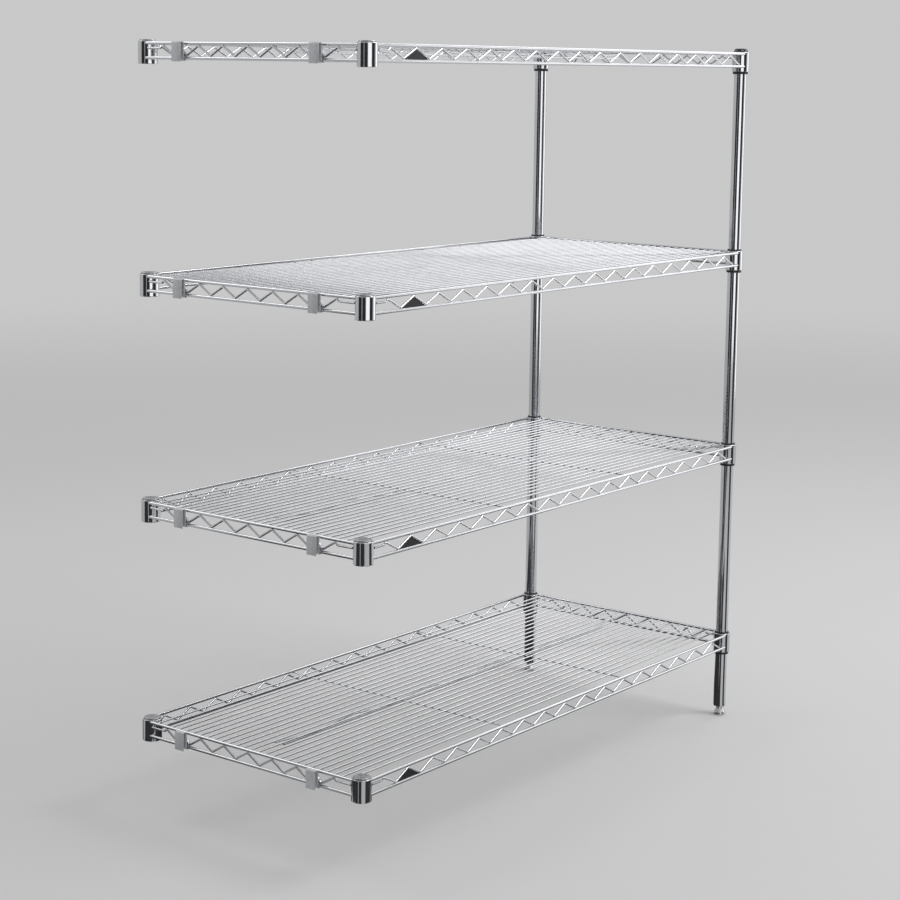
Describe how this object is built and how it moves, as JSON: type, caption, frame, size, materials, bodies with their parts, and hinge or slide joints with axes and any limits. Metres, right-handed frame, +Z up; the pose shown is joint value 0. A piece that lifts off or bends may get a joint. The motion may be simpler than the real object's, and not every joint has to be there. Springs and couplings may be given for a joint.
{
  "type": "wire shelving unit",
  "caption": "Chrome open-wire shelving unit that stands on posts at one end and hangs from a neighbouring unit by flat S-hooks at the other.",
  "frame": {"origin": "centre of the unit's outline, on the floor under its feet", "axes": "+Z up; +X along the shelves towards the posts; +Y from the front to the rear"},
  "size_m": [1.2264, 0.5334, 1.4051],
  "materials": {
    "chrome_wire": "bright chrome plating over welded steel wire",
    "chrome_collar": "bright chrome plating on the corner collars",
    "chrome_post": "bright chrome plating on round steel tube",
    "black_sleeve": "black moulded plastic",
    "black_cap": "black moulded plastic",
    "zinc_hook": "dull zinc plating on bent steel strip",
    "bright_foot": "bright plated steel",
    "bright_insert": "plated steel insert inside the post"
  },
  "bodies": {
    "posts": {"post_front": "chrome_post", "post_cap_front": "black_cap", "foot_insert_front": "bright_insert", "sleeve_1_front_outer": "black_sleeve", "sleeve_1_front_inner": "black_sleeve", "sleeve_2_front_outer": "black_sleeve", "sleeve_2_front_inner": "black_sleeve", "sleeve_3_front_outer": "black_sleeve", "sleeve_3_front_inner": "black_sleeve", "sleeve_4_front_outer": "black_sleeve", "sleeve_4_front_inner": "black_sleeve", "post_rear": "chrome_post", "post_cap_rear": "black_cap", "foot_insert_rear": "bright_insert", "sleeve_1_rear_outer": "black_sleeve", "sleeve_1_rear_inner": "black_sleeve", "sleeve_2_rear_outer": "black_sleeve", "sleeve_2_rear_inner": "black_sleeve", "sleeve_3_rear_outer": "black_sleeve", "sleeve_3_rear_inner": "black_sleeve", "sleeve_4_rear_outer": "black_sleeve", "sleeve_4_rear_inner": "black_sleeve"},
    "foot_front": {"foot_front": "bright_foot"},
    "foot_rear": {"foot_rear": "bright_foot"},
    "hook_1_front": {"s_hook_1_front": "zinc_hook"},
    "hook_1_rear": {"s_hook_1_rear": "zinc_hook"},
    "shelf_1": {"shelf_1_deck": "chrome_wire", "shelf_1_front_rail": "chrome_wire", "shelf_1_front_left_collar": "chrome_collar", "shelf_1_front_right_collar": "chrome_collar", "shelf_1_rear_rail": "chrome_wire", "shelf_1_rear_left_collar": "chrome_collar", "shelf_1_rear_right_collar": "chrome_collar"},
    "hook_2_front": {"s_hook_2_front": "zinc_hook"},
    "hook_2_rear": {"s_hook_2_rear": "zinc_hook"},
    "shelf_2": {"shelf_2_deck": "chrome_wire", "shelf_2_front_rail": "chrome_wire", "shelf_2_front_left_collar": "chrome_collar", "shelf_2_front_right_collar": "chrome_collar", "shelf_2_rear_rail": "chrome_wire", "shelf_2_rear_left_collar": "chrome_collar", "shelf_2_rear_right_collar": "chrome_collar"},
    "hook_3_front": {"s_hook_3_front": "zinc_hook"},
    "hook_3_rear": {"s_hook_3_rear": "zinc_hook"},
    "shelf_3": {"shelf_3_deck": "chrome_wire", "shelf_3_front_rail": "chrome_wire", "shelf_3_front_left_collar": "chrome_collar", "shelf_3_front_right_collar": "chrome_collar", "shelf_3_rear_rail": "chrome_wire", "shelf_3_rear_left_collar": "chrome_collar", "shelf_3_rear_right_collar": "chrome_collar"},
    "hook_4_front": {"s_hook_4_front": "zinc_hook"},
    "hook_4_rear": {"s_hook_4_rear": "zinc_hook"},
    "shelf_4": {"shelf_4_deck": "chrome_wire", "shelf_4_front_rail": "chrome_wire", "shelf_4_front_left_collar": "chrome_collar", "shelf_4_front_right_collar": "chrome_collar", "shelf_4_rear_rail": "chrome_wire", "shelf_4_rear_left_collar": "chrome_collar", "shelf_4_rear_right_collar": "chrome_collar"}
  },
  "joints": [
    {"name": "shelf_1_lift", "type": "slide", "parent": "posts", "child": "shelf_1", "axis": [0, 0, 1], "range_m": [0, 0.355]},
    {"name": "hook_1_front_slide", "type": "slide", "parent": "shelf_1", "child": "hook_1_front", "axis": [0, 1, 0], "range_m": [-0.06, 0.143]},
    {"name": "hook_1_rear_slide", "type": "slide", "parent": "shelf_1", "child": "hook_1_rear", "axis": [0, -1, 0], "range_m": [-0.06, 0.143]},
    {"name": "shelf_2_lift", "type": "slide", "parent": "posts", "child": "shelf_2", "axis": [0, 0, 1], "range_m": [0, 0.355]},
    {"name": "hook_2_front_slide", "type": "slide", "parent": "shelf_2", "child": "hook_2_front", "axis": [0, 1, 0], "range_m": [-0.06, 0.143]},
    {"name": "hook_2_rear_slide", "type": "slide", "parent": "shelf_2", "child": "hook_2_rear", "axis": [0, -1, 0], "range_m": [-0.06, 0.143]},
    {"name": "shelf_3_lift", "type": "slide", "parent": "posts", "child": "shelf_3", "axis": [0, 0, 1], "range_m": [0, 0.355]},
    {"name": "hook_3_front_slide", "type": "slide", "parent": "shelf_3", "child": "hook_3_front", "axis": [0, 1, 0], "range_m": [-0.06, 0.143]},
    {"name": "hook_3_rear_slide", "type": "slide", "parent": "shelf_3", "child": "hook_3_rear", "axis": [0, -1, 0], "range_m": [-0.06, 0.143]},
    {"name": "shelf_4_lift", "type": "slide", "parent": "posts", "child": "shelf_4", "axis": [0, 0, 1], "range_m": [0, 0.06]},
    {"name": "hook_4_front_slide", "type": "slide", "parent": "shelf_4", "child": "hook_4_front", "axis": [0, 1, 0], "range_m": [-0.06, 0.143]},
    {"name": "hook_4_rear_slide", "type": "slide", "parent": "shelf_4", "child": "hook_4_rear", "axis": [0, -1, 0], "range_m": [-0.06, 0.143]},
    {"name": "foot_front_screw", "type": "slide", "parent": "posts", "child": "foot_front", "axis": [0, 0, -1], "range_m": [0, 0.025]},
    {"name": "foot_rear_screw", "type": "slide", "parent": "posts", "child": "foot_rear", "axis": [0, 0, -1], "range_m": [0, 0.025]}
  ]
}
